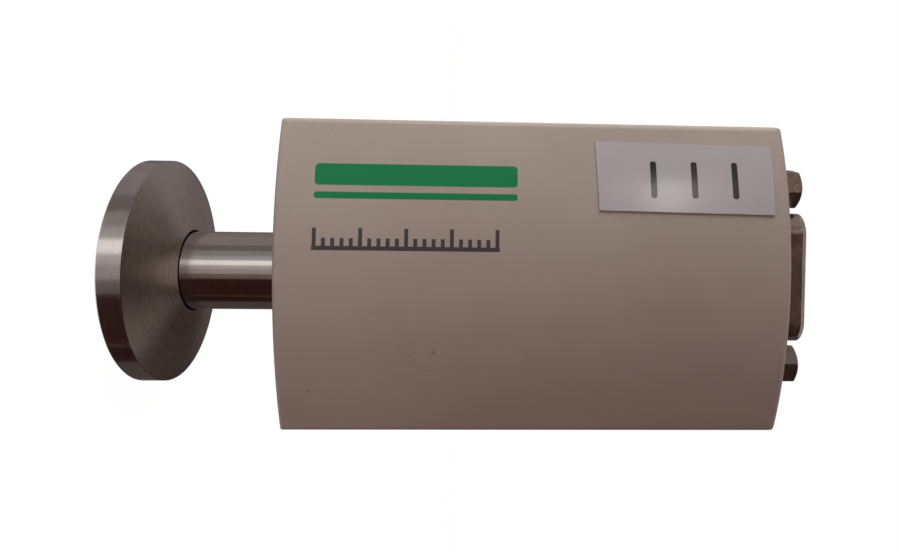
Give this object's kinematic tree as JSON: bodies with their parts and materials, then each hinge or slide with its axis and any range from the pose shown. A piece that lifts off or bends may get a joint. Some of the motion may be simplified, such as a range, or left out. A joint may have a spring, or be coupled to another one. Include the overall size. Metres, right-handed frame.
{
  "type": "pirani vacuum gauge",
  "caption": "Compact heated-wire vacuum gauge: round clamp flange, short steel tube, ivory housing with bulged faces and a D-shaped signal connector with jack sockets.",
  "frame": {"origin": "centre of the port flange's sealing face, on which the gauge stands", "axes": "+Z along the gauge from the port to the connector, +X across the broad faces, -Y towards the front face with the tape label"},
  "size_m": [0.0408, 0.03, 0.09],
  "materials": {
    "flange_steel": "turned, brushed",
    "tube_steel": "drawn, semi-bright",
    "plain_steel": "machined",
    "filament_wire": "drawn wire",
    "pin_alloy": "drawn",
    "seal_glass": "fused glass",
    "plate_aluminium": "machined",
    "case_ivory": "smooth satin ivory",
    "board_green": "solder mask",
    "chip_black": "moulded",
    "can_aluminium": "drawn can",
    "trimmer_blue": "moulded",
    "resistor_body": "lacquered",
    "lead_wire": "sleeved wire",
    "connector_nickel": "nickel plated, semi-bright",
    "insulator_black": "moulded",
    "contact_gold": "gold flashed",
    "jack_nickel": "nickel plated",
    "tape_white": "laminated tape"
  },
  "bodies": {
    "root": {"kf_flange": "flange_steel", "sensor_tube": "tube_steel", "inlet_screen": "plain_steel", "filament": "filament_wire", "filament_spring": "filament_wire", "feedthrough_pin_1": "pin_alloy", "feedthrough_pin_2": "pin_alloy", "glass_seal_1": "seal_glass", "glass_seal_2": "seal_glass", "header_disc": "plain_steel", "tube_washer": "plain_steel", "tube_nut": "plain_steel", "base_plate": "plate_aluminium", "base_screw_1": "plain_steel", "base_screw_2": "plain_steel", "case": "case_ivory", "main_board": "board_green", "op_amp": "chip_black", "regulator": "chip_black", "filter_capacitor_1": "can_aluminium", "filter_capacitor_2": "can_aluminium", "trim_pot_1": "trimmer_blue", "trim_pot_2": "trimmer_blue", "bridge_resistor_1": "resistor_body", "bridge_resistor_2": "resistor_body", "bridge_resistor_3": "resistor_body", "sensor_lead_1": "lead_wire", "sensor_lead_2": "lead_wire", "connector_shell": "connector_nickel", "connector_rear_shell": "connector_nickel", "connector_insulator": "insulator_black", "contact_pin_1": "contact_gold", "contact_pin_2": "contact_gold", "contact_pin_3": "contact_gold", "contact_pin_4": "contact_gold", "contact_pin_5": "contact_gold", "contact_pin_6": "contact_gold", "contact_pin_7": "contact_gold", "contact_pin_8": "contact_gold", "contact_pin_9": "contact_gold", "jack_socket_1": "jack_nickel", "jack_socket_2": "jack_nickel", "jack_washer_1": "jack_nickel", "jack_washer_2": "jack_nickel", "jack_nut_1": "jack_nickel", "jack_nut_2": "jack_nickel", "tape_label": "tape_white"}
  },
  "joints": []
}
